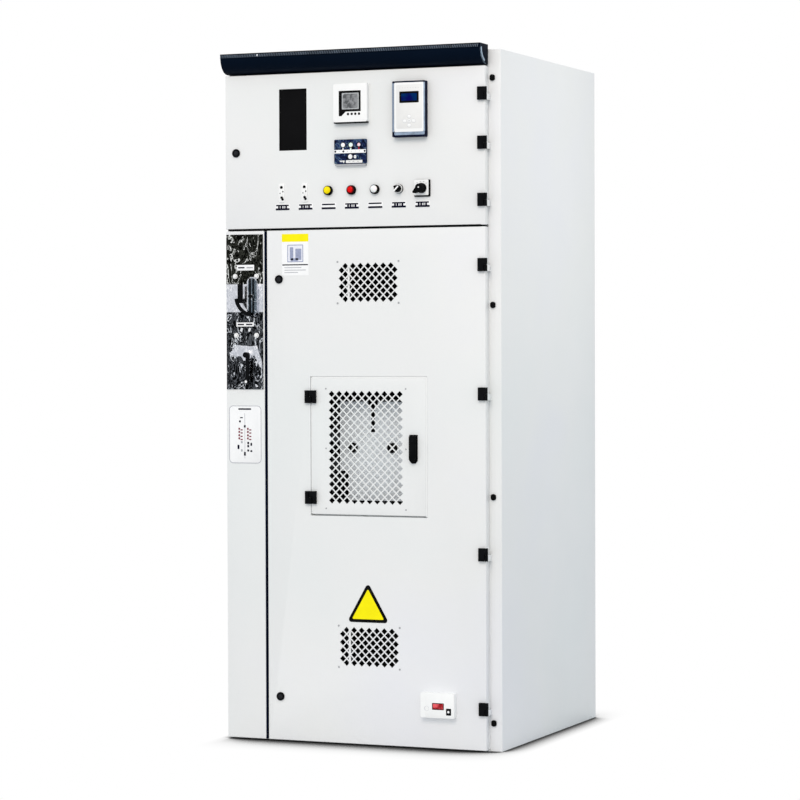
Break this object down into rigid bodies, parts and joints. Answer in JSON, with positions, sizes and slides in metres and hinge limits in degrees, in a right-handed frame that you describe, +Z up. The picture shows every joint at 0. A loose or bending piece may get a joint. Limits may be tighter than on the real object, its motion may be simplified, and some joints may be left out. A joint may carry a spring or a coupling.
{
  "type": "metal-enclosed switchgear cabinet",
  "caption": "Floor-standing metal-enclosed switchgear cabinet with an instrument door, a main door with a screened hatch and vents, a switch mechanism column and an end cover.",
  "frame": {"origin": "on the floor, in the middle of the four floor bolt holes, which is the middle of the cabinet's footprint without its end cover", "axes": "+X to the viewer's right as one faces the doors, so the doors' hinges are on +X; +Y from the doors towards the back; +Z up"},
  "size_m": [0.942, 0.975, 2.215],
  "materials": {
    "powder_coat": "pale grey powder coat, fine texture, half gloss",
    "zinc_steel": "zinc plated steel",
    "black_zinc": "black coated zinc alloy",
    "navy_paint": "dark navy gloss",
    "trim_aluminium": "ribbed dark aluminium",
    "polished_steel": "polished stainless steel",
    "bright_steel": "bright plated steel",
    "label_film": "white film labels",
    "rubber_seal": "black rubber",
    "black_acrylic": "black gloss plastic",
    "black_plastic": "black matt plastic",
    "meter_plastic": "white plastic bezel",
    "relay_plastic": "blue-grey plastic frame",
    "indicator_plastic": "dark blue plastic",
    "lamp_plastic": "coloured lamp lenses",
    "link_plastic": "white plastic",
    "sign_film": "yellow film"
  },
  "bodies": {
    "cabinet": {"base_frame": "powder_coat", "floor_plate": "zinc_steel", "uprights": "powder_coat", "cross_rails": "powder_coat", "roof_panel": "powder_coat", "left_side_sheet": "powder_coat", "right_side_sheet": "powder_coat", "end_cover": "powder_coat", "end_cover_plugs": "black_plastic", "rear_covers": "powder_coat", "inner_partitions": "powder_coat", "inner_barrier": "powder_coat", "header": "navy_paint", "header_trim": "trim_aluminium", "column_cover": "powder_coat", "mechanism_plates": "polished_steel", "column_labels": "label_film", "dial_housing": "bright_steel", "guide_plate": "bright_steel", "frame_hinge_leaves": "black_zinc", "lock_keepers": "zinc_steel", "door_seal": "rubber_seal"},
    "instrument_door": {"instrument_door": "powder_coat", "instrument_door_leaves": "black_zinc", "window_plate": "black_acrylic", "power_meter": "meter_plastic", "protection_relay": "relay_plastic", "presence_indicator": "indicator_plastic", "indicator_lamps": "lamp_plastic", "trip_links": "link_plastic", "switch_plates": "meter_plastic", "instrument_labels": "label_film"},
    "main_door": {"main_door": "powder_coat", "main_door_leaves": "black_zinc", "door_stiffeners": "powder_coat", "vent_grilles": "powder_coat", "notice_plate": "sign_film", "triangle_plate": "sign_film", "magnetic_lock": "meter_plastic"},
    "hatch": {"hatch": "powder_coat", "hatch_screen": "powder_coat", "hatch_leaves": "black_zinc", "handle_plate": "black_plastic"},
    "hatch_handle": {"hatch_handle": "black_plastic"},
    "instrument_lock": {"instrument_lock": "black_zinc"},
    "main_upper_lock": {"main_upper_lock": "black_zinc"},
    "main_lower_lock": {"main_lower_lock": "black_zinc"},
    "selector_knob": {"selector_knob": "black_plastic"},
    "cam_switch_knob": {"cam_switch_knob": "black_plastic"},
    "upper_lever": {"upper_lever": "black_zinc"},
    "lower_lever": {"lower_lever": "black_zinc"}
  },
  "joints": [
    {"name": "instrument_door_hinge", "type": "hinge", "parent": "cabinet", "child": "instrument_door", "pos_m": [0.454, -0.486, 1.9], "axis": [0, 0, 1], "range_deg": [0, 110]},
    {"name": "main_door_hinge", "type": "hinge", "parent": "cabinet", "child": "main_door", "pos_m": [0.454, -0.486, 0.825], "axis": [0, 0, 1], "range_deg": [0, 110]},
    {"name": "hatch_hinge", "type": "hinge", "parent": "main_door", "child": "hatch", "pos_m": [-0.149, -0.486, 0.956], "axis": [0, 0, -1], "range_deg": [0, 110]},
    {"name": "hatch_handle_turn", "type": "hinge", "parent": "hatch", "child": "hatch_handle", "pos_m": [0.2065, -0.48, 0.977], "axis": [0, -1, 0], "range_deg": [0, 90]},
    {"name": "instrument_lock_turn", "type": "hinge", "parent": "instrument_door", "child": "instrument_lock", "pos_m": [-0.4115, -0.48, 1.898], "axis": [0, 1, 0], "range_deg": [0, 90]},
    {"name": "main_upper_lock_turn", "type": "hinge", "parent": "main_door", "child": "main_upper_lock", "pos_m": [-0.2605, -0.48, 1.489], "axis": [0, 1, 0], "range_deg": [0, 90]},
    {"name": "main_lower_lock_turn", "type": "hinge", "parent": "main_door", "child": "main_lower_lock", "pos_m": [-0.2605, -0.48, 0.145], "axis": [0, 1, 0], "range_deg": [0, 90]},
    {"name": "selector_turn", "type": "hinge", "parent": "instrument_door", "child": "selector_knob", "pos_m": [0.1585, -0.486, 1.77], "axis": [0, 1, 0], "range_deg": [0, 90]},
    {"name": "cam_switch_turn", "type": "hinge", "parent": "instrument_door", "child": "cam_switch_knob", "pos_m": [0.2395, -0.486, 1.77], "axis": [0, 1, 0], "range_deg": [0, 90]},
    {"name": "upper_lever_turn", "type": "hinge", "parent": "cabinet", "child": "upper_lever", "pos_m": [-0.3505, -0.51, 1.435], "axis": [0, -1, 0], "range_deg": [0, 45]},
    {"name": "lower_lever_turn", "type": "hinge", "parent": "cabinet", "child": "lower_lever", "pos_m": [-0.371, -0.505, 1.246], "axis": [0, 1, 0], "range_deg": [-40, 40]}
  ]
}
